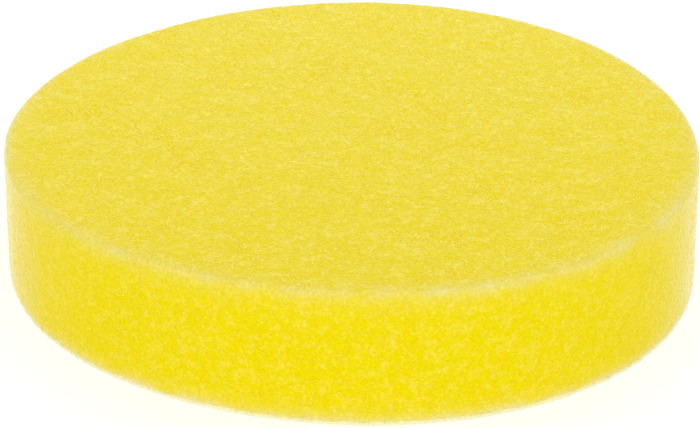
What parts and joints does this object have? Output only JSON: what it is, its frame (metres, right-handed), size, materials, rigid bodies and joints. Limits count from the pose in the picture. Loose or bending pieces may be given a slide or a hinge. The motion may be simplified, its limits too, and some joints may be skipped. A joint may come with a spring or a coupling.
{
  "type": "foam polishing sponge",
  "caption": "Round disc of fine open-cell foam with a flat working face, laminated to a loop fabric backing that grips a hook plate.",
  "frame": {"origin": "centre of the backing's outer face, the face that grips a backing plate", "axes": "+Z along the axis of the disc, from the backing towards the working face; X and Y are any two directions across the round disc"},
  "size_m": [0.15, 0.15, 0.03],
  "materials": {
    "foam": "open-cell polyurethane foam, fine pores, matt",
    "adhesive_film": "translucent hot-melt film",
    "loop_fabric": "knitted nylon loops, off-white"
  },
  "bodies": {
    "root": {"foam_disc": "foam", "adhesive_layer": "adhesive_film", "loop_backing": "loop_fabric"}
  },
  "joints": []
}
